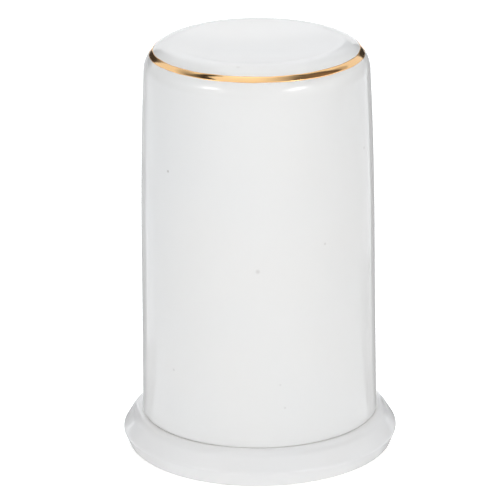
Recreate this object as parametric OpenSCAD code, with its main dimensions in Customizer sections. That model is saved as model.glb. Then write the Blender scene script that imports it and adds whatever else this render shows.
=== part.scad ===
// Covered toothpick holder in glazed porcelain: a low flanged base that carries
// a cup for the toothpicks, and a tall cover that drops over the cup and stands
// on the base. Origin at the middle of the foot ring, on the table, +Z up.

/* [Cover] */
// Outer diameter of the cover at its foot
cover_d = 48; // [44:0.5:54]
// Height of the cover from its foot to the top of its rim
cover_h = 77.3; // [74:0.1:90]
// Thickness of the cover's cast wall
cover_wall = 2.8; // [2:0.1:3.2]
// How much less the diameter is where the shoulder starts
cover_taper = 2.8; // [1:0.1:4]
// Slope of the wall at the foot, in degrees
foot_draft = 1.35; // [0.5:0.05:2]
// Slope of the wall where the shoulder starts, in degrees
shoulder_draft = 3.2; // [1.5:0.1:5]
// Radius of the rounded shoulder
shoulder_r = 5.9; // [4.5:0.1:8]
// Depth of the dished top below the rim
dish_depth = 1.3; // [1:0.1:4]
// Radius on the two edges of the cover's foot
cover_foot_r = 0.5; // [0.2:0.1:0.9]

/* [Gilt line] */
// Width of the line, measured along the shoulder
gilt_w = 1.4; // [0.8:0.1:2.4]
// Where the middle of the line lies on the shoulder, in degrees up from level
gilt_angle = 43; // [30:1:60]
// Thickness of the gilding
gilt_t = 0.05; // [0.03:0.01:0.1]

/* [Base] */
// How far the edge of the base stands out from the cover's foot
flange_w = 4; // [3:0.1:10]
// Height of the seat for the cover above the table
seat_h = 7.1; // [6:0.1:9]
// Height of the edge above the table
edge_h = 3.1; // [2:0.05:4]
// Radius of the edge
edge_r = 0.8; // [0.3:0.1:1]
// How far outside the cover's foot the seat and the slope would meet without a radius
ledge_w = 1.6; // [1.2:0.1:1.8]
// Radius where the seat turns down into the slope
ledge_r = 2.5; // [1:0.1:2.5]
// How far the side draws in from the edge down to the table
side_undercut = 1.3; // [0.3:0.1:1.5]
// Thickness of the floor under the cup
floor_t = 3; // [2.5:0.1:4]
// Depth of the recess in the underside
recess_h = 1.8; // [1:0.1:2.5]
// Width of the foot ring on the table
foot_ring_w = 2.6; // [1.5:0.1:4]
// Radius on the two edges of the foot ring
foot_ring_r = 0.6; // [0.2:0.1:0.7]

/* [Cup] */
// Height of the cup's lip above the seat
cup_h = 42; // [30:1:50]
// Thickness of the cup's wall
cup_wall = 2.4; // [2:0.1:3]
// Gap between the cup and the inside of the cover, at the foot
cup_gap = 1.6; // [1.2:0.1:2.5]
// Slope of the cup's wall inside and outside, in degrees
cup_draft = 0.5; // [0.2:0.1:1]
// Radius between the cup's wall and its floor
cup_floor_r = 3; // [1:0.5:5]
// Radius between the seat and the cup
cup_root_r = 0.8; // [0.3:0.1:1]

/* [Hidden] */
$fn = 144;

// Steps in the wall, in a quarter turn of an arc and in a rounded corner
wall_steps = 14;
quarter_steps = 24;
corner_steps = 5;
// Share of a wall that each of its rounded edges may take
lip_share = 0.45;
// Share of the ledge that its radius may take, so that the cover's foot stands on a flat
ledge_share = 0.9;

// Points of an arc round the centre c, from the angle a to the angle b
function arc(c, r, a, b, steps) =
    [for (i = [0 : steps]) let (v = a + (b - a) * i / steps) c + r * [cos(v), sin(v)]];

// Steps that an arc from a to b gets
function steps_of(a, b) = max(2, ceil(quarter_steps * abs(b - a) / 90));

// Unit vector from p to q
function towards(p, q) = (q - p) / norm(q - p);

// Points of an outline's corner q, between its neighbours p and s, rounded to r
function corner(p, q, s, r) =
    let (u = towards(q, p), v = towards(q, s), half = acos(u * v) / 2,
         c = q + towards(q, q + u + v) * r / sin(half),
         a = q + u * r / tan(half) - c, b = q + v * r / tan(half) - c,
         start = atan2(a.y, a.x), turn = atan2(a.x * b.y - a.y * b.x, a * b))
    arc(c, r, start, start + turn, corner_steps);

// Outline of [r, z, radius] corners with each corner rounded to its radius
function rounded(list) =
    let (n = len(list), at = function (i) [list[(i + n) % n].x, list[(i + n) % n].y])
    [for (i = [0 : n - 1])
        each (list[i].z > 0 ? corner(at(i - 1), at(i), at(i + 1), list[i].z) : [at(i)])];

// Cover: radius at the foot and under the shoulder, and where the shoulder's arc has its centre
cover_r = cover_d / 2;
neck_r = cover_r - cover_taper / 2;
crown_r = neck_r - shoulder_r * cos(shoulder_draft);
crown_z = cover_h - shoulder_r;
neck_z = crown_z + shoulder_r * sin(shoulder_draft);
// The dish is a sphere that runs smoothly into the shoulder's arc
dish_r = (crown_r ^ 2 + dish_depth ^ 2) / (2 * dish_depth) - shoulder_r;
dish_z = cover_h - dish_depth + dish_r;
dish_angle = atan2(crown_r, dish_z - crown_z);
// Angles on the shoulder at the two edges of the gilt line
gilt_half = gilt_w / 2 / shoulder_r * 180 / PI;
gilt_low = gilt_angle - gilt_half;
gilt_high = gilt_angle + gilt_half;
// Thickness of the wall measured level
cover_wall_level = cover_wall / cos(shoulder_draft);
cover_lip_r = min(cover_foot_r, cover_wall * lip_share);

// Radius of the cover's outside at height z: a cubic that has both drafts and both radii
function cover_wall_r(z) =
    let (t = z / neck_z)
    cover_r * (1 - 3 * t ^ 2 + 2 * t ^ 3) + neck_r * (3 * t ^ 2 - 2 * t ^ 3)
    - neck_z * tan(foot_draft) * (t - 2 * t ^ 2 + t ^ 3)
    - neck_z * tan(shoulder_draft) * (t ^ 3 - t ^ 2);

// Wall from above the foot's edge to the shoulder, set in by the level distance d
function cover_side(d, top_z) =
    let (from_z = cover_lip_r)
    [for (i = [0 : wall_steps - 1]) let (z = from_z + (top_z - from_z) * i / wall_steps)
        [cover_wall_r(z) - d, z]];

// Shoulder and dish, set in by t, from the wall to the axis. The stops are the gilt line's edges
function cover_top(t) =
    let (c = [crown_r, crown_z], r = shoulder_r - t, last = 90 + dish_angle,
         a = arc(c, r, shoulder_draft, gilt_low, steps_of(shoulder_draft, gilt_low)),
         b = arc(c, r, gilt_low, gilt_high, steps_of(gilt_low, gilt_high)),
         d = arc(c, r, gilt_high, last, steps_of(gilt_high, last)),
         e = arc([0, dish_z], dish_r + t, dish_angle - 90, -90, steps_of(0, dish_angle) * 2))
    concat(a, [for (i = [1 : len(b) - 1]) b[i]], [for (i = [1 : len(d) - 1]) d[i]],
           [for (i = [1 : len(e) - 1]) e[i]]);

function backwards(list) = [for (i = [len(list) - 1 : -1 : 0]) list[i]];

// Edges of the cover's foot, from the inside to the outside
function cover_foot() =
    let (inner = cover_r - cover_wall_level, r = cover_lip_r)
    concat(arc([inner + r, r], r, 180, 270, corner_steps), arc([cover_r - r, r], r, 270, 360, corner_steps));

// Base: radii on its outside
base_r = cover_r + flange_w;
seat_r = cover_r + ledge_w;
ledge_turn = atan2(seat_h - edge_h, flange_w - ledge_w);
ledge_round = min(ledge_r, ledge_w * ledge_share / tan(ledge_turn / 2));
foot_out_r = base_r - side_undercut;
foot_in_r = foot_out_r - foot_ring_w;
recess_r = min(recess_h, foot_ring_w) / 2;
cup_floor_z = recess_h + floor_t;

// Cup: outer and inner radius at the seat and at the lip
cup_out_r = cover_r - cover_wall_level - cup_gap;
cup_lip_z = seat_h + cup_h;
cup_lean = cup_h * tan(cup_draft);
cup_lip_out_r = cup_out_r - cup_lean;
cup_lip_in_r = cup_lip_out_r - cup_wall;
cup_in_r = cup_lip_in_r - cup_lean;
cup_lip_r = cup_wall * lip_share;
cup_root = min(cup_root_r, cup_gap * lip_share);

// Cover: an inverted cup with an even wall and a dished top
module cover() {
    color("#F2F2F0") translate([0, 0, seat_h]) rotate_extrude() polygon(concat(
        cover_foot(),
        cover_side(0, neck_z),
        cover_top(0),
        backwards(cover_top(cover_wall)),
        backwards(cover_side(cover_wall_level, crown_z + (shoulder_r - cover_wall) * sin(shoulder_draft)))));
}

// Gilt line: a thin band on the shoulder, on the same arc as the shoulder itself
module gilt_line() {
    steps = steps_of(gilt_low, gilt_high);
    c = [crown_r, crown_z];
    color("#D9A650") translate([0, 0, seat_h]) rotate_extrude() polygon(concat(
        arc(c, shoulder_r, gilt_low, gilt_high, steps),
        arc(c, shoulder_r + gilt_t, gilt_high, gilt_low, steps)));
}

// Base: the foot ring and flange with the cup for the toothpicks, in one casting
module base() {
    color("#EFEFEC") rotate_extrude() polygon(rounded([
        [0, recess_h, 0],
        [foot_in_r, recess_h, recess_r],
        [foot_in_r, 0, foot_ring_r],
        [foot_out_r, 0, foot_ring_r],
        [base_r, edge_h, edge_r],
        [seat_r, seat_h, ledge_round],
        [cup_out_r, seat_h, cup_root],
        [cup_lip_out_r, cup_lip_z, cup_lip_r],
        [cup_lip_in_r, cup_lip_z, cup_lip_r],
        [cup_in_r, cup_floor_z, cup_floor_r],
        [0, cup_floor_z, 0]]));
}

cover();
gilt_line();
base();
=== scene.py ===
"""Looks of a covered toothpick holder: white glazed porcelain with a gilt line on the cover.

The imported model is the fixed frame. Its three nodes give every piece its place and its outer size, and the
sizes inside repeat those of the part's source. The pieces are turned from outlines, as the plaster models
of such ware are, and then get the slight unevenness of slip casting and glazing.
"""

import logging
import math
from dataclasses import dataclass, field
from enum import Enum
from typing import Any

import bpy
from mathutils import Matrix, Vector


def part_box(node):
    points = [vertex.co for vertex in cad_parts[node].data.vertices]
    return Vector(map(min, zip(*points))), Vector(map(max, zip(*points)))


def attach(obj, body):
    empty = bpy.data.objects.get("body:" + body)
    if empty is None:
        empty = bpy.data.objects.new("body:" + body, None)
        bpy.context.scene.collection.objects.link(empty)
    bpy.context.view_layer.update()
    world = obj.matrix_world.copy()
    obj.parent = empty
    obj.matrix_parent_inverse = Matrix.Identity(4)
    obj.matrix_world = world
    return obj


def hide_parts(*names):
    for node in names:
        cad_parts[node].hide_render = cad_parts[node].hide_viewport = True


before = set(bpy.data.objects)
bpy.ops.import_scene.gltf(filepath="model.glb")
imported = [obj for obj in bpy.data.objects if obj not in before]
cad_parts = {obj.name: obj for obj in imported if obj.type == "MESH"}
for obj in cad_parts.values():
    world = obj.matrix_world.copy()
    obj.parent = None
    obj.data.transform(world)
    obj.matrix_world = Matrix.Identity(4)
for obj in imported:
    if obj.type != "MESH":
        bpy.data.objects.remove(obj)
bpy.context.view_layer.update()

LOG = logging.getLogger("toothpick_holder")
MM = 0.001
TURN = 2 * math.pi
# Width of the photograph, and of the sensor that its focal length is given for
IMAGE_PX = 500
SENSOR_MM = 36.0
# Points of an outline that lie closer than this are one point
SAME_POINT = 0.0005 * MM
# Straight piece kept on either side of a rounded corner, so that smooth shading doesn't bend the flats
STRAIGHT = 0.05 * MM
# Height over a foot up to which the glaze is wiped off
WIPED = 0.15 * MM

# A point of an outline, as distance from the axis and height
Point = tuple[float, float]
# Two values of one kind: a first and a last one, or a near and a far one
Span = tuple[float, float]


class Body(Enum):
    """Rigid bodies that the pieces ride on."""

    BASE = "base"
    COVER = "cover"


class Slot(Enum):
    """Material slots of the record."""

    COVER = "cover_porcelain"
    GOLD = "bright_gold"
    BASE = "base_porcelain"


def linear(code: str) -> tuple[float, float, float, float]:
    """Turns an sRGB hex colour into linear light.

    Args:
        code: Six hex digits after a hash, such as "#F2F2F0".

    Returns:
        Red, green, blue and an alpha of 1, linear.
    """
    shares = [int(code[i:i + 2], 16) / 255 for i in (1, 3, 5)]
    light = [s / 12.92 if s <= 0.04045 else ((s + 0.055) / 1.055) ** 2.4 for s in shares]
    return (light[0], light[1], light[2], 1.0)


def add_node(tree: bpy.types.NodeTree, kind: str, inputs: dict[str | int, Any] | None = None,
             **settings: Any) -> bpy.types.Node:
    """Adds a node with its settings, values and links.

    Args:
        tree: Node tree that gets the node.
        kind: Node type without its "ShaderNode" start.
        inputs: Value, or socket to link from, for each input name or number.
        settings: Attributes of the node itself.

    Returns:
        The new node.
    """
    node = tree.nodes.new("ShaderNode" + kind)
    for name, value in settings.items():
        setattr(node, name, value)
    for key, value in (inputs or {}).items():
        if isinstance(value, bpy.types.NodeSocket):
            tree.links.new(value, node.inputs[key])
        else:
            node.inputs[key].default_value = value
    return node


def new_material(name: str) -> tuple[bpy.types.Material, bpy.types.NodeTree]:
    """Makes an empty node material.

    Args:
        name: Name of the real material.

    Returns:
        The material and its node tree.
    """
    material = bpy.data.materials.new(name)
    material.use_nodes = True
    material.node_tree.nodes.clear()
    return material, material.node_tree


@dataclass(frozen=True)
class Speck:
    """A firing speck: a grain of iron that melted into the glaze.

    Attributes:
        turn_deg: Where it lies round the axis, from the front towards +X.
        height_mm: Its height above the table.
        radius_mm: Distance from the axis.
        size_mm: Its width.
        depth: How dark it is, from 0 to 1.
    """

    turn_deg: float
    height_mm: float
    radius_mm: float
    size_mm: float
    depth: float

    def place(self) -> tuple[float, float, float]:
        """Returns the speck's place in metres."""
        a, r = math.radians(self.turn_deg), self.radius_mm * MM
        return (r * math.sin(a), -r * math.cos(a), self.height_mm * MM)


@dataclass(frozen=True)
class Glaze:
    """Hard porcelain under a clear glaze, dipped and fired at about 1400 C.

    The white body shows through a glass skin: a near-white that is less warm where the glaze pools, a
    sharp mirror on top, and a ripple in it that only shows in reflections.

    Attributes:
        name: Name of the material.
        white: Colour of the glazed body.
        pooled: Its colour where the glaze is thicker.
        speck: Colour of the iron in the firing specks.
        specks: The firing specks.
        cloud_mm: Size of the areas of thicker and thinner glaze.
        cloud_edge: Values of the cloud pattern between which one colour turns into the other.
        speck_edge: Shares of a speck's width from its middle, where it ends and where it is darkest.
        ripple_mm: Length of the ripple that the glaze dries with.
        ripple_depth_mm: Height of that ripple.
        roughness: Near 0, as on any gloss glaze.
        ior: Typical of a clear glaze.
    """

    name: str
    white: str = "#F3F2F0"
    pooled: str = "#F2F2F1"
    speck: str = "#8A8178"
    specks: tuple[Speck, ...] = ()
    cloud_mm: float = 34.0
    cloud_edge: Span = (0.35, 0.65)
    speck_edge: Span = (0.7, 0.25)
    ripple_mm: float = 5.0
    ripple_depth_mm: float = 0.004
    roughness: float = 0.03
    ior: float = 1.5

    def material(self) -> bpy.types.Material:
        """Builds the glaze.

        Returns:
            The node material.
        """
        material, tree = new_material(self.name)
        here = add_node(tree, "TexCoord").outputs["Object"]
        cloud = add_node(tree, "TexNoise", {"Vector": here, "Scale": 1 / (self.cloud_mm * MM), "Detail": 2.0})
        low, high = self.cloud_edge
        blend = add_node(tree, "MapRange", {"Value": cloud.outputs[0], "From Min": low, "From Max": high})
        colour = add_node(tree, "Mix", {0: blend.outputs[0], 6: linear(self.white), 7: linear(self.pooled)},
                          data_type="RGBA").outputs[2]
        for grain in self.specks:
            away = add_node(tree, "VectorMath", {0: here, 1: grain.place()}, operation="DISTANCE")
            end, core = (grain.size_mm * MM * share for share in self.speck_edge)
            spot = add_node(tree, "MapRange", {"Value": away.outputs["Value"], "From Min": end,
                                               "From Max": core, "To Max": grain.depth})
            colour = add_node(tree, "Mix", {0: spot.outputs[0], 6: colour, 7: linear(self.speck)},
                              data_type="RGBA").outputs[2]
        ripple = add_node(tree, "TexNoise", {"Vector": here, "Scale": 1 / (self.ripple_mm * MM),
                                             "Detail": 1.0})
        bump = add_node(tree, "Bump", {"Height": ripple.outputs[0], "Distance": self.ripple_depth_mm * MM})
        shader = add_node(tree, "BsdfPrincipled", {"Base Color": colour, "Roughness": self.roughness,
                                                   "IOR": self.ior, "Normal": bump.outputs[0]})
        add_node(tree, "OutputMaterial", {"Surface": shader.outputs[0]})
        return material


@dataclass(frozen=True)
class Biscuit:
    """Unglazed porcelain, wiped clean of glaze where it touches the kiln shelf or the other piece.

    It is matt, a little warmer than the glaze, with a grain like fine sandpaper. The real grain is a few
    hundredths of a millimetre, and is drawn coarser so that it shows.

    Attributes:
        name: Name of the material.
        clay: Colour of the fired clay.
        shade: Its colour in the pits.
        grain_mm: Size of the grain.
        grain_depth_mm: Depth of the grain.
        roughness: That of a matt, open surface.
    """

    name: str
    clay: str = "#E6E2DB"
    shade: str = "#D8D3CA"
    grain_mm: float = 0.25
    grain_depth_mm: float = 0.02
    roughness: float = 0.7

    def material(self) -> bpy.types.Material:
        """Builds the bare clay.

        Returns:
            The node material.
        """
        material, tree = new_material(self.name)
        here = add_node(tree, "TexCoord").outputs["Object"]
        grain = add_node(tree, "TexNoise", {"Vector": here, "Scale": 1 / (self.grain_mm * MM), "Detail": 3.0})
        colour = add_node(tree, "Mix", {0: grain.outputs[0], 6: linear(self.clay), 7: linear(self.shade)},
                          data_type="RGBA")
        bump = add_node(tree, "Bump", {"Height": grain.outputs[0], "Distance": self.grain_depth_mm * MM})
        shader = add_node(tree, "BsdfPrincipled", {"Base Color": colour.outputs[2],
                                                   "Roughness": self.roughness,
                                                   "Normal": bump.outputs[0]})
        add_node(tree, "OutputMaterial", {"Surface": shader.outputs[0]})
        return material


@dataclass(frozen=True)
class BrightGold:
    """Bright gold: gold resinate put on with a brush on a banding wheel and fired at about 800 C.

    The film is a mirror, with fine lines from the brush along the band, and it goes brown where it is
    thinnest, along its two edges. The real lines are a few hundredths of a millimetre apart, and are drawn
    coarser so that they show.

    Attributes:
        name: Name of the material.
        gold: Colour of the full film.
        thin: Its colour where it is thinnest.
        thin_from: Where the film starts to thin out, from 0 in its middle to 1 at its edges.
        brush_mm: Distance between the brush lines.
        brush_stretch: Their width as a share of their length.
        brush_depth_mm: Depth of the brush lines.
        roughness: That of a fired film on gloss glaze.
    """

    name: str = "bright_gold"
    gold: str = "#F2C892"
    thin: str = "#C98F55"
    thin_from: float = 0.9
    brush_mm: float = 0.3
    brush_stretch: float = 0.08
    brush_depth_mm: float = 0.0025
    roughness: float = 0.1

    def material(self) -> bpy.types.Material:
        """Builds the gilding.

        Returns:
            The node material.
        """
        material, tree = new_material(self.name)
        here = add_node(tree, "TexCoord").outputs["Object"]
        stretch = (self.brush_stretch, self.brush_stretch, 1.0)
        along = add_node(tree, "Mapping", {"Vector": here, "Scale": stretch})
        brush = add_node(tree, "TexNoise", {"Vector": along.outputs[0], "Scale": 1 / (self.brush_mm * MM)})
        edge = add_node(tree, "Attribute", attribute_name=GiltLine.EDGE).outputs["Fac"]
        worn = add_node(tree, "MapRange", {"Value": edge, "From Min": self.thin_from, "From Max": 1.0})
        colour = add_node(tree, "Mix", {0: worn.outputs[0], 6: linear(self.gold), 7: linear(self.thin)},
                          data_type="RGBA")
        bump = add_node(tree, "Bump", {"Height": brush.outputs[0], "Distance": self.brush_depth_mm * MM})
        shader = add_node(tree, "BsdfPrincipled", {"Base Color": colour.outputs[2], "Metallic": 1.0,
                                                   "Roughness": self.roughness, "Normal": bump.outputs[0]})
        add_node(tree, "OutputMaterial", {"Surface": shader.outputs[0]})
        return material


def arc(centre: Point, radius: float, start: float, end: float, steps: int) -> list[Point]:
    """Points of an arc.

    Args:
        centre: Its centre, as distance from the axis and height.
        radius: Its radius.
        start: Angle of its first point in radians, from level.
        end: Angle of its last point.
        steps: Number of its chords.

    Returns:
        The points, both ends among them.
    """
    turns = [start + (end - start) * i / steps for i in range(steps + 1)]
    return [(centre[0] + radius * math.cos(t), centre[1] + radius * math.sin(t)) for t in turns]


def rounded(before: Point, corner: Point, after: Point, radius: float, steps: int = 10) -> list[Point]:
    """Rounds a corner of an outline.

    Args:
        before: The outline's point before the corner.
        corner: The corner.
        after: The outline's point after it.
        radius: Radius of the rounding.
        steps: Number of its chords.

    Returns:
        The points that take the corner's place, with one on either side that keeps the sides straight.
    """
    at = Vector(corner)
    back, on = (Vector(before) - at).normalized(), (Vector(after) - at).normalized()
    half = back.angle(on) / 2
    centre = at + (back + on).normalized() * (radius / math.sin(half))
    first = at + back * (radius / math.tan(half)) - centre
    last = at + on * (radius / math.tan(half)) - centre
    start = math.atan2(first.y, first.x)
    turn = math.atan2(first.x * last.y - first.y * last.x, first.dot(last))
    reach = radius / math.tan(half) + STRAIGHT
    ahead, beyond = at + back * reach, at + on * reach
    curve = arc((centre.x, centre.y), radius, start, start + turn, steps)
    return [(ahead.x, ahead.y)] + curve + [(beyond.x, beyond.y)]


def deselect_all() -> None:
    """Leaves no object selected, the loaded nodes among them."""
    for thing in bpy.context.selected_objects:
        thing.select_set(False)


def activate(thing: bpy.types.Object) -> None:
    """Selects one object alone and makes it the active one.

    Args:
        thing: The object.
    """
    deselect_all()
    thing.select_set(True)
    bpy.context.view_layer.objects.active = thing


def turned(name: str, outline: list[Point], steps: int) -> bpy.types.Object:
    """Turns a solid from its half outline.

    Args:
        name: Name of the piece.
        outline: Points from the axis round to the axis again, as distance from it and height.
        steps: Number of steps round the axis.

    Returns:
        The closed piece, smooth, with its faces outwards.
    """
    deselect_all()
    bpy.ops.mesh.primitive_plane_add(size=MM, location=(0, 0, 0))
    piece = bpy.context.active_object
    piece.name = piece.data.name = name
    bpy.ops.object.mode_set(mode="EDIT")
    bpy.ops.mesh.merge(type="CENTER")
    bpy.ops.transform.translate(value=(outline[0][0], 0, outline[0][1]))
    for (r0, z0), (r1, z1) in zip(outline, outline[1:]):
        bpy.ops.mesh.extrude_vertices_move(TRANSFORM_OT_translate={"value": (r1 - r0, 0, z1 - z0)})
    bpy.ops.mesh.select_all(action="SELECT")
    bpy.ops.mesh.spin(steps=steps, angle=TURN, center=(0, 0, 0), axis=(0, 0, 1))
    bpy.ops.mesh.select_all(action="SELECT")
    bpy.ops.mesh.remove_doubles(threshold=SAME_POINT)
    bpy.ops.mesh.normals_make_consistent(inside=False)
    bpy.ops.object.mode_set(mode="OBJECT")
    bpy.ops.object.shade_smooth()
    return piece


def uneven(piece: bpy.types.Object, length_mm: float, depth_mm: float) -> None:
    """Gives a piece the slow waves of cast and hand-finished clay.

    Args:
        piece: The piece, which is changed for good.
        length_mm: Length of a wave.
        depth_mm: Height of the waves from lowest to highest.
    """
    texture = bpy.data.textures.new(piece.name + "_waves", "CLOUDS")
    texture.noise_scale = length_mm * MM
    texture.noise_depth = 0
    activate(piece)
    waves = piece.modifiers.new("waves", "DISPLACE")
    waves.texture = texture
    waves.texture_coords = "LOCAL"
    waves.strength = depth_mm * MM
    waves.mid_level = 0.5
    bpy.ops.object.modifier_apply(modifier=waves.name)


@dataclass(frozen=True)
class Trim:
    """A slight resize that puts a piece back into the box of its node after its waves were made.

    Attributes:
        centre: Point that stays in place.
        scale: Factor along each axis.
        shift: Move along each axis.
    """

    centre: Vector
    scale: Vector
    shift: Vector

    @classmethod
    def of(cls, piece: bpy.types.Object, node: str) -> "Trim":
        """Works out the trim of a piece.

        Args:
            piece: The piece.
            node: The node whose box it gets.

        Returns:
            The trim.
        """
        spots = [vertex.co for vertex in piece.data.vertices]
        low = Vector([min(spot[i] for spot in spots) for i in range(3)])
        high = Vector([max(spot[i] for spot in spots) for i in range(3)])
        to_low, to_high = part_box(node)
        scale = Vector([(to_high[i] - to_low[i]) / (high[i] - low[i]) for i in range(3)])
        return cls((low + high) / 2, scale, (to_low + to_high - low - high) / 2)

    def apply(self, piece: bpy.types.Object) -> None:
        """Resizes a piece's mesh and moves it.

        Args:
            piece: The piece, or what is banded on it.
        """
        activate(piece)
        bpy.ops.object.mode_set(mode="EDIT")
        bpy.ops.mesh.select_all(action="SELECT")
        bpy.ops.transform.resize(value=self.scale, center_override=self.centre)
        bpy.ops.transform.translate(value=self.shift)
        bpy.ops.object.mode_set(mode="OBJECT")


def dress(piece: bpy.types.Object, glaze: Glaze, clay: Biscuit, foot_z: float) -> None:
    """Glazes a piece all over but for its foot, which is wiped clean.

    Args:
        piece: The piece.
        glaze: Its glaze.
        clay: Its bare clay.
        foot_z: Height of the foot.
    """
    piece.data.materials.append(glaze.material())
    piece.data.materials.append(clay.material())
    for face in piece.data.polygons:
        face.material_index = int(face.center.z < foot_z + WIPED)


@dataclass
class Cover:
    """The tall cover: an inverted, slip-cast cup with a rounded shoulder and a dished top.

    Attributes:
        finish: Its glaze.
        clay: Its bare clay, on the foot.
        foot_radius: Radius at the foot, from the frame.
        foot_z: Height of the foot, from the frame.
        rim_z: Height of the top of the rim, from the frame.
        wall: Thickness of the wall.
        taper: How much narrower the radius is under the shoulder.
        foot_draft: Slope of the wall at the foot, in degrees.
        shoulder_draft: Slope of the wall at the shoulder, in degrees.
        shoulder: Radius of the shoulder.
        dish: Depth of the dished top.
        lip: Radius on the foot's edges.
        wave_mm: Length of the waves in the cast wall.
        wave_depth_mm: Height of those waves.
        wall_steps: Number of steps up the wall.
        shoulder_steps: Number of steps round the shoulder.
        dish_steps: Number of steps across the dish.
        lip_steps: Number of steps round each edge of the foot.
        turn_steps: Number of steps round the axis.
        trim: What puts it back into its node's box after its waves, once it is built.
    """

    finish: Glaze
    clay: Biscuit
    foot_radius: float = field(default_factory=lambda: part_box("cover")[1].x)
    foot_z: float = field(default_factory=lambda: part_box("cover")[0].z)
    rim_z: float = field(default_factory=lambda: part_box("cover")[1].z)
    wall: float = 2.8 * MM
    taper: float = 1.4 * MM
    foot_draft: float = 1.35
    shoulder_draft: float = 3.2
    shoulder: float = 5.9 * MM
    dish: float = 1.3 * MM
    lip: float = 0.35 * MM
    wave_mm: float = 26.0
    wave_depth_mm: float = 0.12
    wall_steps: int = 22
    shoulder_steps: int = 36
    dish_steps: int = 14
    lip_steps: int = 6
    turn_steps: int = 256
    trim: Trim = field(init=False)

    @property
    def height(self) -> float:
        """Height from the foot to the top of the rim."""
        return self.rim_z - self.foot_z

    @property
    def shoulder_centre(self) -> Point:
        """Centre of the shoulder's arc, above the foot."""
        radius = self.foot_radius - self.taper - self.shoulder * math.cos(math.radians(self.shoulder_draft))
        return (radius, self.height - self.shoulder)

    def wall_radius(self, z: float) -> float:
        """Radius of the outside: a cubic that has both radii and both drafts.

        Args:
            z: Height above the foot.

        Returns:
            The radius.
        """
        top = self.shoulder_centre[1] + self.shoulder * math.sin(math.radians(self.shoulder_draft))
        t = z / top
        ends = self.foot_radius - self.taper * (3 * t ** 2 - 2 * t ** 3)
        low = math.tan(math.radians(self.foot_draft)) * (t - 2 * t ** 2 + t ** 3)
        high = math.tan(math.radians(self.shoulder_draft)) * (t ** 3 - t ** 2)
        return ends - top * (low + high)

    def skin(self, inset: float) -> list[Point]:
        """Outline of the skin from above the foot to the axis.

        Args:
            inset: How far it lies inside the outer skin.

        Returns:
            Its points, above the foot.
        """
        draft = math.radians(self.shoulder_draft)
        centre, radius = self.shoulder_centre, self.shoulder - inset
        dish_radius = (centre[0] ** 2 + self.dish ** 2) / (2 * self.dish) - self.shoulder
        dish_z = self.height - self.dish + dish_radius
        lean = math.atan2(centre[0], dish_z - centre[1])
        top = centre[1] + radius * math.sin(draft)
        heights = [self.lip + (top - self.lip) * i / self.wall_steps for i in range(self.wall_steps)]
        side = [(self.wall_radius(z) - inset / math.cos(draft), z) for z in heights]
        shoulder = arc(centre, radius, draft, math.pi / 2 + lean, self.shoulder_steps)
        dish = arc((0, dish_z), dish_radius + inset, lean - math.pi / 2, -math.pi / 2, self.dish_steps)
        return side + shoulder + dish[1:-1] + [(0.0, dish[-1][1])]

    def outline(self) -> list[Point]:
        """Half outline of the shell.

        Returns:
            Its points, from the dish's middle down round the foot and up inside.
        """
        outer, inner = self.skin(0), self.skin(self.wall)
        inside = inner[0][0]
        foot = (arc((self.foot_radius - self.lip, self.lip), self.lip, 0, -math.pi / 2, self.lip_steps)
                + arc((inside + self.lip, self.lip), self.lip, -math.pi / 2, -math.pi, self.lip_steps))
        points = outer[::-1] + foot[1:-1] + inner
        return [(r, z + self.foot_z) for r, z in points]

    def waves(self, piece: bpy.types.Object) -> None:
        """Gives the cover, or what is banded on it, the cover's waves."""
        uneven(piece, self.wave_mm, self.wave_depth_mm)

    def build(self) -> bpy.types.Object:
        """Makes the cover and puts it in the place of its node.

        Returns:
            The piece.
        """
        piece = turned("cover_porcelain", self.outline(), self.turn_steps)
        self.waves(piece)
        self.trim = Trim.of(piece, "cover")
        self.trim.apply(piece)
        dress(piece, self.finish, self.clay, self.foot_z)
        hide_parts("cover")
        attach(piece, Body.COVER.value)
        LOG.info("%s: %d faces", piece.name, len(piece.data.polygons))
        return piece


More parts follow.
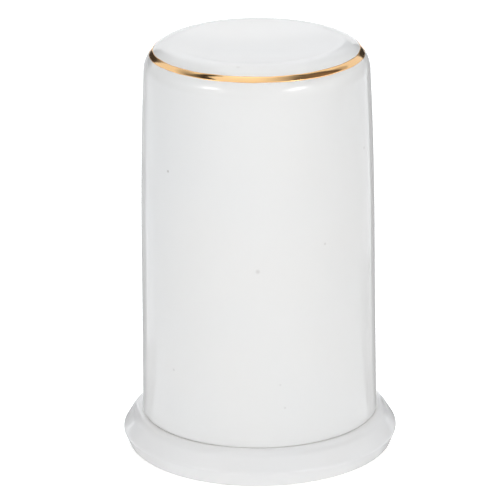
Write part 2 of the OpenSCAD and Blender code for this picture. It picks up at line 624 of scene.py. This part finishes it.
@dataclass
class GiltLine:
    """The gilt line: a hand-banded film of gold on the cover's shoulder.

    Attributes:
        cover: The cover that carries it.
        finish: Its gilding.
        width: Mean width along the shoulder.
        middle_deg: Where its middle lies on the shoulder, up from level.
        film: How far the film stands out of the glaze.
        sway: How far its edges wander along the shoulder.
        tilt: How far its lower edge lies out of level.
        tilt_deg: Where that edge is highest, from the front towards +X.
        across_steps: Number of steps across it.
        turn_steps: Number of steps round the axis.
    """

    # Attribute that tells how near a point is to an edge of the film
    EDGE = "film_edge"
    # Waves of the brush's wander: how many to a turn, how large, and where they start
    WANDER = ((3, 0.5, 0.4), (7, 0.3, 1.9), (17, 0.25, 4.1), (41, 0.12, 2.7))

    cover: Cover
    finish: BrightGold
    width: float = 1.4 * MM
    middle_deg: float = 43.0
    film: float = 0.03 * MM
    sway: float = 0.09 * MM
    tilt: float = 0.12 * MM
    tilt_deg: float = -60.0
    across_steps: int = 8
    turn_steps: int = 512

    def edge_sway(self, turn: float, side: int) -> float:
        """How far an edge of the line strays at an angle round the axis.

        Args:
            turn: The angle, in radians.
            side: 1 for the upper edge and -1 for the lower one.

        Returns:
            The stray along the shoulder.
        """
        stray = self.sway * sum(size * math.sin(count * turn + start + side * count)
                                for count, size, start in self.WANDER)
        if side > 0:
            return stray
        return stray + self.tilt * math.cos(turn - math.radians(self.tilt_deg))

    def build(self) -> bpy.types.Object:
        """Makes the line and puts it in the place of its node.

        Returns:
            The piece.
        """
        centre, middle = self.cover.shoulder_centre, math.radians(self.middle_deg)
        half = self.width / self.cover.shoulder / 2
        strip = arc((centre[0], centre[1] + self.cover.foot_z), self.cover.shoulder,
                    middle - half, middle + half, self.across_steps)
        piece = turned("gilt_band", strip, self.turn_steps)
        self.band(piece, centre, middle, half)
        self.cover.waves(piece)
        self.cover.trim.apply(piece)
        activate(piece)
        film = piece.modifiers.new("film", "SOLIDIFY")
        film.thickness = self.film * 2
        film.offset = 0.0
        bpy.ops.object.modifier_apply(modifier=film.name)
        piece.data.materials.append(self.finish.material())
        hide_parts("gilt_line")
        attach(piece, Body.COVER.value)
        LOG.info("%s: %d faces", piece.name, len(piece.data.polygons))
        return piece

    def band(self, piece: bpy.types.Object, centre: Point, middle: float, half: float) -> None:
        """Lets both edges wander as a brush does, and marks how near each point is to an edge.

        Args:
            piece: The even band, which is changed.
            centre: Centre of the shoulder's arc, above the foot.
            middle: Angle of the band's middle on the shoulder, in radians.
            half: Half of its width, in radians.
        """
        near = piece.data.attributes.new(self.EDGE, "FLOAT", "POINT")
        for vertex in piece.data.vertices:
            x, y, z = vertex.co
            turn = math.atan2(x, -y)
            out = math.hypot(x, y) - centre[0]
            up = z - self.cover.foot_z - centre[1]
            radius, angle = math.hypot(out, up), math.atan2(up, out)
            across = (angle - middle) / half
            side = 1 if across > 0 else -1
            angle += abs(across) * self.edge_sway(turn, side) / self.cover.shoulder
            ring = centre[0] + radius * math.cos(angle)
            vertex.co = (ring * math.sin(turn), -ring * math.cos(turn),
                         self.cover.foot_z + centre[1] + radius * math.sin(angle))
            near.data[vertex.index].value = min(1.0, abs(across))


@dataclass
class Base:
    """The base: foot ring, sloping flange, seat and the cup for the toothpicks, cast in one.

    Attributes:
        finish: Its glaze.
        clay: Its bare clay, on the foot ring.
        cover: The cover that stands on it.
        flange: How far the edge stands out from the cover's foot.
        cup_top: Height of the cup's lip, from the frame.
        seat_z: Height of the seat, from the frame: the cover's foot stands on it.
        edge_z: Height of the edge.
        edge_round: Radius of the edge.
        ledge: How far outside the cover's foot the seat and the slope would meet without a radius.
        ledge_round: Radius where the seat turns down into the slope.
        undercut: How far the side draws in down to the table.
        floor: Thickness of the floor.
        recess: Depth of the recess in the underside.
        foot_ring: Width of the foot ring.
        foot_round: Radius on the foot ring's edges.
        cup_wall: Thickness of the cup's wall.
        cup_gap: Gap between the cup and the cover.
        cup_draft: Slope of the cup's wall, in degrees.
        cup_floor_round: Radius between the cup's wall and its floor.
        cup_root_round: Radius between the seat and the cup.
        lip_share: Share of the cup's wall that each edge of its lip takes.
        wave_mm: Length of the waves in the cast form.
        wave_depth_mm: Height of those waves.
        ripple_mm: Length of the finer ripple that the sponge leaves.
        ripple_depth_mm: Height of that ripple.
        turn_steps: Number of steps round the axis.
    """

    finish: Glaze
    clay: Biscuit
    cover: Cover
    flange: float = 4.0 * MM
    cup_top: float = field(default_factory=lambda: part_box("base")[1].z)
    seat_z: float = field(default_factory=lambda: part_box("cover")[0].z)
    edge_z: float = 3.1 * MM
    edge_round: float = 0.8 * MM
    ledge: float = 1.6 * MM
    ledge_round: float = 2.5 * MM
    undercut: float = 1.3 * MM
    floor: float = 3.0 * MM
    recess: float = 1.8 * MM
    foot_ring: float = 2.6 * MM
    foot_round: float = 0.6 * MM
    cup_wall: float = 2.4 * MM
    cup_gap: float = 1.6 * MM
    cup_draft: float = 0.5
    cup_floor_round: float = 3.0 * MM
    cup_root_round: float = 0.72 * MM
    lip_share: float = 0.45
    wave_mm: float = 16.0
    wave_depth_mm: float = 0.1
    ripple_mm: float = 2.6
    ripple_depth_mm: float = 0.015
    turn_steps: int = 288

    def outline(self) -> list[Point]:
        """Half outline of the casting.

        Returns:
            Its points, from the middle of the underside round the edge and over the cup to its floor.
        """
        rim = self.cover.foot_radius + self.flange
        foot = rim - self.undercut
        ring = foot - self.foot_ring
        seat = self.cover.foot_radius + self.ledge
        cover_wall = self.cover.wall / math.cos(math.radians(self.cover.shoulder_draft))
        cup = self.cover.foot_radius - cover_wall - self.cup_gap
        lean = (self.cup_top - self.seat_z) * math.tan(math.radians(self.cup_draft))
        lip = cup - lean
        bore = lip - self.cup_wall
        lip_round = self.cup_wall * self.lip_share
        floor_z = self.recess + self.floor
        corners: list[tuple[Point, float]] = [
            ((0.0, self.recess), 0.0),
            ((ring, self.recess), self.recess / 2),
            ((ring, 0.0), self.foot_round),
            ((foot, 0.0), self.foot_round),
            ((rim, self.edge_z), self.edge_round),
            ((seat, self.seat_z), self.ledge_round),
            ((cup, self.seat_z), self.cup_root_round),
            ((lip, self.cup_top), lip_round),
            ((bore, self.cup_top), lip_round),
            ((bore - lean, floor_z), self.cup_floor_round),
            ((0.0, floor_z), 0.0),
        ]
        points: list[Point] = []
        for i, (point, radius) in enumerate(corners):
            if radius:
                points += rounded(corners[i - 1][0], point, corners[i + 1][0], radius)
            else:
                points.append(point)
        return points

    def build(self) -> bpy.types.Object:
        """Makes the base and puts it in the place of its node.

        Returns:
            The piece.
        """
        piece = turned("base_porcelain", self.outline(), self.turn_steps)
        uneven(piece, self.wave_mm, self.wave_depth_mm)
        uneven(piece, self.ripple_mm, self.ripple_depth_mm)
        Trim.of(piece, "base").apply(piece)
        dress(piece, self.finish, self.clay, 0.0)
        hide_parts("base")
        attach(piece, Body.BASE.value)
        LOG.info("%s: %d faces", piece.name, len(piece.data.polygons))
        return piece


@dataclass(frozen=True)
class Viewpoint:
    """Where the photograph was taken from.

    Attributes:
        distance: From the middle of the joint between base and cover.
        elevation_deg: Height of the camera above that joint, as an angle.
        pitch_deg: How far it looks down.
        roll_deg: Its turn about the line of sight.
        yaw_deg: How far it looks past the axis.
        focal_px: Its focal length in pixels of the photograph.
        clip: Nearest and farthest distance that it sees.
    """

    distance: float = 0.72
    elevation_deg: float = 21.551
    pitch_deg: float = 19.03
    roll_deg: float = -0.55
    yaw_deg: float = -0.146
    focal_px: float = 3506.0
    clip: Span = (0.01, 20.0)

    def build(self, aim: Vector) -> bpy.types.Object:
        """Makes the camera.

        Args:
            aim: Middle of the joint between base and cover.

        Returns:
            The camera.
        """
        data = bpy.data.cameras.new("camera")
        data.sensor_width = SENSOR_MM
        data.lens = self.focal_px / IMAGE_PX * SENSOR_MM
        data.clip_start, data.clip_end = self.clip
        camera = bpy.data.objects.new("camera", data)
        bpy.context.scene.collection.objects.link(camera)
        rise = math.radians(self.elevation_deg)
        place = aim + Vector((0, -math.cos(rise), math.sin(rise))) * self.distance
        turn = (Matrix.Rotation(-math.radians(self.yaw_deg), 4, "Z")
                @ Matrix.Rotation(math.radians(90 - self.pitch_deg), 4, "X")
                @ Matrix.Rotation(math.radians(self.roll_deg), 4, "Z"))
        camera.matrix_world = Matrix.Translation(place) @ turn
        bpy.context.scene.camera = camera
        return camera


@dataclass(frozen=True)
class Card:
    """A card or a gap of the light tent, or painted shade on the table, which only the glaze and the gold
    mirror.

    Attributes:
        name: Its name.
        colour: Its colour as it is mirrored.
        corners: Its corners in metres from the middle of the cover's top.
        faded: Its colour at its upper edge, where that is another one.
    """

    name: str
    colour: str
    corners: tuple[tuple[float, float, float], ...]
    faded: str | None = None

    def build(self, middle: Vector) -> bpy.types.Object:
        """Makes the card.

        Args:
            middle: Middle of the cover's top.

        Returns:
            The card.
        """
        deselect_all()
        bpy.ops.mesh.primitive_circle_add(vertices=len(self.corners), fill_type="NGON", location=(0, 0, 0))
        card = bpy.context.active_object
        card.name = card.data.name = self.name
        for vertex, corner in zip(card.data.vertices, self.corners):
            vertex.co = middle + Vector(corner)
        card.data.materials.append(self.material(middle))
        mirrored_only(card)
        return card

    def material(self, middle: Vector) -> bpy.types.Material:
        """Builds the card's cloth, which fades towards its upper edge.

        Args:
            middle: Middle of the cover's top.

        Returns:
            The node material.
        """
        material, tree = new_material(self.name)
        glow = add_node(tree, "Emission", {"Color": linear(self.colour), "Strength": 1.0})
        if self.faded:
            heights = [middle.z + corner[2] for corner in self.corners]
            here = add_node(tree, "SeparateXYZ", {0: add_node(tree, "TexCoord").outputs["Object"]})
            rise = add_node(tree, "MapRange", {"Value": here.outputs["Z"], "From Min": min(heights),
                                               "From Max": max(heights)})
            blend = add_node(tree, "Mix", {0: rise.outputs[0], 6: linear(self.colour),
                                           7: linear(self.faded)}, data_type="RGBA")
            tree.links.new(blend.outputs[2], glow.inputs["Color"])
        add_node(tree, "OutputMaterial", {"Surface": glow.outputs[0]})
        return material


def mirrored_only(thing: bpy.types.Object) -> None:
    """Makes a thing a part of the stage that only shows in reflections.

    Args:
        thing: The card or soft-edged area.
    """
    thing.visible_camera = thing.visible_diffuse = thing.visible_shadow = False
    thing.visible_transmission = thing.visible_volume_scatter = False


# How far behind the axis the hanging cards are, and how far above the cover's top the level ones
BACK = 1.2
ROOF = 1.0
# Height above the table of the painted shade that lies on it
TABLE_CLEARANCE = 0.3 * MM
# Distance from the axis of the wall's two outlines as the camera sees them
LIMB = 0.0235
# How far from there the table that they mirror starts and ends
LIMB_REACH = (0.012, 1.3)


def back_card(name: str, colour: str, *corners: Point, faded: str | None = None) -> Card:
    """A hanging card behind the ware.

    Args:
        name: Its name.
        colour: Its colour as it is mirrored.
        corners: Its corners: to the right, and above the cover's top.
        faded: Its colour at its upper edge.

    Returns:
        The card.
    """
    return Card(name, colour, tuple((x, BACK, z) for x, z in corners), faded)


def painted_table_shade(name: str, colour: str, beside: float, turns_deg: Span, reach: Span = LIMB_REACH) -> Card:
    """A sheet of painted shade on the table, fanned out from a point beside the axis, which only the ware
    mirrors.

    Args:
        name: Its name.
        colour: Its colour as it is mirrored.
        beside: How far the point is to the right of the axis.
        turns_deg: Angles of its sides round the point, from the front towards +X.
        reach: Distance of its near and its far side from the point.

    Returns:
        The painted shade, as a card.
    """
    corners = []
    for turn, far in ((0, 0), (1, 0), (1, 1), (0, 1)):
        a = math.radians(turns_deg[turn])
        corners.append((beside + reach[far] * math.sin(a), -reach[far] * math.cos(a),
                        TABLE_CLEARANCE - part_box("cover")[1].z))
    return Card(name, colour, tuple(corners))


def roof_card(name: str, colour: str, *corners: Point) -> Card:
    """A level card above the cover.

    Args:
        name: Its name.
        colour: Its colour as it is mirrored.
        corners: Its corners: to the right, and away from the camera.

    Returns:
        The card.
    """
    return Card(name, colour, tuple((x, y, ROOF) for x, y in corners))


def facing(turn_deg: float, rise_deg: float, middle: Vector, distance: float = 1.0) -> Matrix:
    """Pose of a flat thing that faces a point.

    Args:
        turn_deg: Its angle round the axis, from the front towards +X.
        rise_deg: Its angle above level.
        middle: The point.
        distance: Its distance from the point.

    Returns:
        The pose.
    """
    a, e = math.radians(turn_deg), math.radians(rise_deg)
    way = Vector((math.sin(a) * math.cos(e), -math.cos(a) * math.cos(e), math.sin(e)))
    return Matrix.Translation(middle + way * distance) @ way.to_track_quat("Z", "Y").to_matrix().to_4x4()


class Falloff(Enum):
    """How a soft-edged area of the tent's cloth fades from its middle."""

    EVEN = "SPHERICAL"
    PEAKED = "QUADRATIC_SPHERE"


@dataclass(frozen=True)
class Glow:
    """A soft-edged area of the tent's cloth, lit or shaded from outside, which only the ware mirrors.

    Attributes:
        name: Its name.
        turn_deg: Its angle round the axis, from the front towards +X.
        rise_deg: Its angle above level.
        width: Its width.
        height: Its height.
        strength: How bright its middle is, where 1 is the plain cloth.
        falloff: How it fades.
        distance: Its distance.
    """

    name: str
    turn_deg: float
    rise_deg: float
    width: float
    height: float
    strength: float
    falloff: Falloff = Falloff.PEAKED
    distance: float = 1.0

    def build(self, middle: Vector) -> None:
        """Makes the area.

        Args:
            middle: Middle of the cover's top.
        """
        deselect_all()
        bpy.ops.mesh.primitive_plane_add(size=2)
        area = bpy.context.active_object
        area.name = area.data.name = self.name
        shape = Matrix.Diagonal((self.width / 2, self.height / 2, 1, 1))
        area.matrix_world = facing(self.turn_deg, self.rise_deg, middle, self.distance) @ shape
        material, tree = new_material(self.name)
        here = add_node(tree, "TexCoord").outputs["Object"]
        fade = add_node(tree, "TexGradient", {"Vector": here}, gradient_type=self.falloff.value)
        glow = add_node(tree, "Emission", {"Strength": self.strength, "Color": linear("#FFFFFF")})
        clear = add_node(tree, "BsdfTransparent")
        mix = add_node(tree, "MixShader", {0: fade.outputs["Fac"], 1: clear.outputs[0], 2: glow.outputs[0]})
        add_node(tree, "OutputMaterial", {"Surface": mix.outputs[0]})
        area.data.materials.append(material)
        mirrored_only(area)


@dataclass(frozen=True)
class Lamp:
    """The soft light that a lamp throws on the ware through the tent's cloth.

    Attributes:
        name: Its name.
        turn_deg: Its angle round the axis, from the front towards +X.
        rise_deg: Its angle above level.
        power: Its power in watts.
        tint: Colour of its light.
        size: Width and height of the lit cloth.
    """

    name: str
    turn_deg: float
    rise_deg: float
    power: float
    tint: str = "#FFFFFF"
    size: float = 0.6

    def build(self, middle: Vector) -> None:
        """Makes the light.

        Args:
            middle: Middle of the cover's top.
        """
        data = bpy.data.lights.new(self.name, "AREA")
        data.shape, data.size = "SQUARE", self.size
        data.energy, data.color = self.power, linear(self.tint)[:3]
        light = bpy.data.objects.new(self.name, data)
        bpy.context.scene.collection.objects.link(light)
        light.matrix_world = facing(self.turn_deg, self.rise_deg, middle)
        light.visible_glossy = light.visible_camera = False


@dataclass(frozen=True)
class Studio:
    """A white light tent on a white table.

    Attributes:
        floor_size: Width of the table.
        soft: Strength of the light that the tent scatters on the ware.
        seen_lift: How much the table is lifted towards white where the camera sees it.
        mirrored_lift: How much it is lifted where the ware mirrors it.
        table_light: Strength of the light that comes up through the table.
        paper: Colour of the table.
        lamps: The lamps outside the tent.
        glows: The soft-edged areas of the cloth.
        cards: The cards, curtains and gaps, and the painted shade on the table.
    """

    floor_size: float = 6.0
    soft: float = 0.25
    seen_lift: float = 0.5
    mirrored_lift: float = 0.5
    table_light: float = 0.22
    paper: str = "#F8F8F8"
    lamps: tuple[Lamp, ...] = (
        Lamp("left_lamp", -49.0, 30.0, 0.8, "#E8F3FF"),
        Lamp("right_lamp", 38.0, 30.0, 1.45),
        Lamp("front_lamp", -5.0, 40.0, 2.85),
        Lamp("back_lamp", 180.0, 35.0, 4.0, "#EEF5FF"),
        Lamp("top_lamp", 0.0, 89.0, 1.9),
    )
    glows: tuple[Glow, ...] = (
        Glow("left_spot", -49.0, 22.0, 0.6, 0.32, 18.0),
        Glow("right_spot", 41.5, 22.0, 0.7, 0.32, 15.0),
        Glow("left_haze", -48.0, 19.0, 2.0, 0.64, 2.0, Falloff.EVEN),
        Glow("right_haze", 58.0, 13.0, 3.2, 0.84, 2.2, Falloff.EVEN),
        Glow("roof_glow", 180.0, 75.0, 3.0, 3.0, 2.1, distance=1.3),
        Glow("back_glow", 180.0, 28.0, 0.8, 0.32, 1.5, Falloff.EVEN),
        Glow("roof_shade_right", 66.0, 58.0, 1.4, 1.4, 0.15),
        Glow("roof_shade_left", -98.0, 44.0, 0.7, 0.4, 0.3, Falloff.EVEN),
    )
    cards: tuple[Card, ...] = (
        back_card("back_wall", "#F3F3F3", (-0.3, -0.06), (0.26, -0.06), (0.26, 0.25), (0.15, 0.32),
                  (0.09, 0.45), (-0.3, 0.45), faded="#FFFFFF"),
        back_card("gap_back_left", "#453F3C", (-0.3, -0.06), (-0.42, 0.02), (-0.42, 0.25), (-0.4, 0.34),
                  (-0.385, 0.45), (-1.035, 0.45), (-1.02, 0.4), (-0.97, 0.29), (-1.0, -0.06)),
        back_card("curtain_back_left", "#5E5955", (-0.385, 0.45), (-0.37, 0.56), (-0.39, 0.92),
                  (-0.37, 1.0), (-1.2, 1.0), (-1.12, 0.7), (-1.035, 0.45), faded="#CBC7C3"),
        back_card("gap_back_right", "#403E3C", (0.32, -0.06), (0.32, 0.26), (0.77, 0.31), (0.77, -0.06)),
        back_card("curtain_right", "#DADADA", (0.77, -0.08), (0.77, 0.14), (2.4, 0.2), (2.4, -0.08)),
        back_card("curtain_left", "#E0E0E0", (-1.0, -0.08), (-1.0, 0.14), (-2.4, 0.2), (-2.4, -0.08)),
        back_card("shade_back_right", "#959595", (0.26, 0.25), (0.15, 0.32), (0.084, 0.39), (0.094, 0.56),
                  (0.17, 0.79), (0.26, 1.1), (0.37, 1.5), (0.51, 1.86), (0.78, 2.04), (0.78, 0.31),
                  faded="#E8E8E8"),
        # Painted shade on the table behind the wall's two outlines, which only the wall's edges mirror
        painted_table_shade("shade_left", "#B4B4B4", -LIMB, (-167.0, -143.0), (0.012, 0.12)),
        painted_table_shade("shade_middle_left", "#C6C6C6", -LIMB, (-167.0, -143.0), (0.12, 0.2)),
        painted_table_shade("painted_shade_pale_far_left", "#D8D8D8", -LIMB, (-167.0, -143.0), (0.2, 0.5)),
        painted_table_shade("shade_far_left", "#B4B4B4", -LIMB, (-167.0, -143.0), (0.5, 1.3)),
        painted_table_shade("shade_right", "#A0A0A0", LIMB, (146.0, 167.0)),
        # Painted shadow of the flange on the table round the foot, which only the flange's side mirrors
        painted_table_shade("foot_shade_left", "#E0E0E0", 0.0, (-68.0, -44.0), (0.02, 0.032)),
        painted_table_shade("foot_shade_far_left", "#C4C4C4", 0.0, (-106.0, -68.0), (0.02, 0.032)),
        painted_table_shade("foot_shade_right", "#E0E0E0", 0.0, (44.0, 68.0), (0.02, 0.032)),
        painted_table_shade("foot_shade_far_right", "#BEBEBE", 0.0, (68.0, 106.0), (0.02, 0.032)),
        # Painted shadow of the ware on the table beside the wall's outlines, lighter further out, which only
        # the wall mirrors
        painted_table_shade("painted_shadow_dim_left", "#DCDCDC", -LIMB, (-143.0, -112.0), (0.012, 0.035)),
        painted_table_shade("painted_shadow_pale_left", "#F2F2F2", -LIMB, (-143.0, -112.0), (0.035, 0.06)),
        painted_table_shade("painted_shadow_dim_right", "#DADADA", LIMB, (112.0, 146.0), (0.012, 0.045)),
        painted_table_shade("painted_shadow_pale_right", "#F2F2F2", LIMB, (112.0, 146.0), (0.045, 0.08)),
        painted_table_shade("painted_shadow_faint_right", "#F9F9F9", LIMB, (112.0, 146.0), (0.08, 0.12)),
        roof_card("curtain_roof_left", "#D8D4D0", (-0.32, 1.2), (-1.12, 1.2), (-0.92, 0.85), (-0.8, 0.55),
                  (-0.7, 0.4), (-0.6, 0.25), (-0.5, 0.12), (-0.305, 0.12), (-0.314, 0.48), (-0.329, 0.62),
                  (-0.34, 0.8)),
        roof_card("gap_roof_left", "#38322E", (-0.5, 0.12), (-0.55, 0.07), (-0.75, 0.09), (-1.0, 0.15),
                  (-1.3, 0.2), (-1.15, 0.0), (-0.8, -0.48), (-0.68, -0.48), (-0.645, -0.3), (-0.66, -0.11),
                  (-0.3, -0.1), (-0.3, -0.04), (-0.305, 0.12)),
        roof_card("gap_roof_middle", "#4A423E", (0.24, -0.075), (0.3, -0.12), (0.66, -0.14), (0.62, -0.02)),
        roof_card("gap_roof_right", "#6A6058", (0.62, 0.0), (0.66, 0.06), (0.82, 0.2), (1.15, 0.43),
                  (1.5, 0.68), (1.6, 0.47), (1.0, 0.12), (0.66, -0.1)),
        roof_card("curtain_roof_right", "#CFC9C2", (1.02, 0.36), (1.15, 0.43), (1.5, 0.68), (1.6, 0.47),
                  (2.1, 1.0), (1.5, 1.05), (1.15, 0.6)),
        roof_card("panel_roof_right", "#94806F", (0.66, -0.1), (1.0, 0.12), (1.55, 0.46), (2.2, 0.46),
                  (2.2, -0.9), (0.56, -0.9), (0.56, -0.2)),
    )

    def build(self) -> None:
        """Makes the table, the tent's light, the lamps and the cards."""
        self.table()
        self.tent()
        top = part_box("cover")[1].z
        for thing in self.lamps + self.glows + self.cards:
            thing.build(Vector((0, 0, top)))

    def table(self) -> None:
        """Makes the white table, which keeps the shadow under the ware."""
        deselect_all()
        bpy.ops.mesh.primitive_plane_add(size=self.floor_size, location=(0, 0, 0))
        floor = bpy.context.active_object
        floor.name = floor.data.name = "table"
        material, tree = new_material("white_card")
        paper = add_node(tree, "BsdfDiffuse", {"Color": linear(self.paper)})
        path = add_node(tree, "LightPath")
        mirrored = add_node(tree, "Math", {0: path.outputs["Is Glossy Ray"],
                                           1: path.outputs["Is Transmission Ray"]}, operation="MAXIMUM")
        dim = add_node(tree, "MapRange", {"Value": mirrored.outputs[0], "To Min": self.table_light,
                                          "To Max": self.mirrored_lift})
        lift = add_node(tree, "MapRange", {"Value": path.outputs["Is Camera Ray"], "To Min": dim.outputs[0],
                                           "To Max": self.seen_lift})
        glow = add_node(tree, "Emission", {"Strength": lift.outputs[0]})
        both = add_node(tree, "AddShader", {0: paper.outputs[0], 1: glow.outputs[0]})
        add_node(tree, "OutputMaterial", {"Surface": both.outputs[0]})
        floor.data.materials.append(material)

    def seen(self, tree: bpy.types.NodeTree) -> bpy.types.NodeSocket:
        """Adds the nodes that tell a ray that is seen or mirrored, as 1, from one that only lights, as 0.

        Args:
            tree: The node tree.

        Returns:
            The socket that gives it.
        """
        path = add_node(tree, "LightPath")
        seen = add_node(tree, "Math", {0: path.outputs["Is Camera Ray"], 1: path.outputs["Is Glossy Ray"]},
                        operation="MAXIMUM")
        return add_node(tree, "Math", {0: seen.outputs[0], 1: path.outputs["Is Transmission Ray"]},
                        operation="MAXIMUM").outputs[0]

    def tent(self) -> None:
        """Makes the world: plain white where it is seen or mirrored, and soft light on the ware."""
        world = bpy.data.worlds.new("light_tent")
        world.use_nodes = True
        tree = world.node_tree
        tree.nodes.clear()
        strength = add_node(tree, "MapRange", {"Value": self.seen(tree), "To Min": self.soft,
                                               "To Max": 1.0})
        light = add_node(tree, "Background", {"Color": linear("#FFFFFF"), "Strength": strength.outputs[0]})
        add_node(tree, "OutputWorld", {"Surface": light.outputs[0]})
        bpy.context.scene.world = world


# The specks that show in the photograph
SPECKS = (
    Speck(-49.1, 62.3, 23.27, 0.5, 0.45),
    Speck(-0.4, 44.2, 23.58, 0.8, 0.2),
    Speck(-45.9, 21.2, 23.77, 0.5, 0.18),
    Speck(12.1, 15.5, 23.83, 0.45, 0.15),
    Speck(9.9, 20.4, 23.78, 0.45, 0.12),
    Speck(33.7, 48.5, 23.53, 0.5, 0.2),
    Speck(64.9, 65.1, 23.19, 0.6, 0.2),
    Speck(-11.5, 84.2, 18.25, 0.7, 0.15),
)


def main() -> None:
    """Builds the pieces in order, then the studio and the camera."""
    logging.basicConfig(level=logging.INFO, format="%(name)s %(message)s")
    bpy.context.scene.view_settings.view_transform = "Standard"
    cover = Cover(Glaze("glazed_porcelain_cover", specks=SPECKS), Biscuit("unglazed_porcelain_cover"))
    cover.build()
    GiltLine(cover, BrightGold()).build()
    base_glaze = Glaze("glazed_porcelain_base", white="#F3F2F1", pooled="#F2F2F2")
    Base(base_glaze, Biscuit("unglazed_porcelain_base"), cover).build()
    Studio().build()
    Viewpoint().build(Vector((0, 0, cover.foot_z)))


if __name__ == "__main__":
    main()
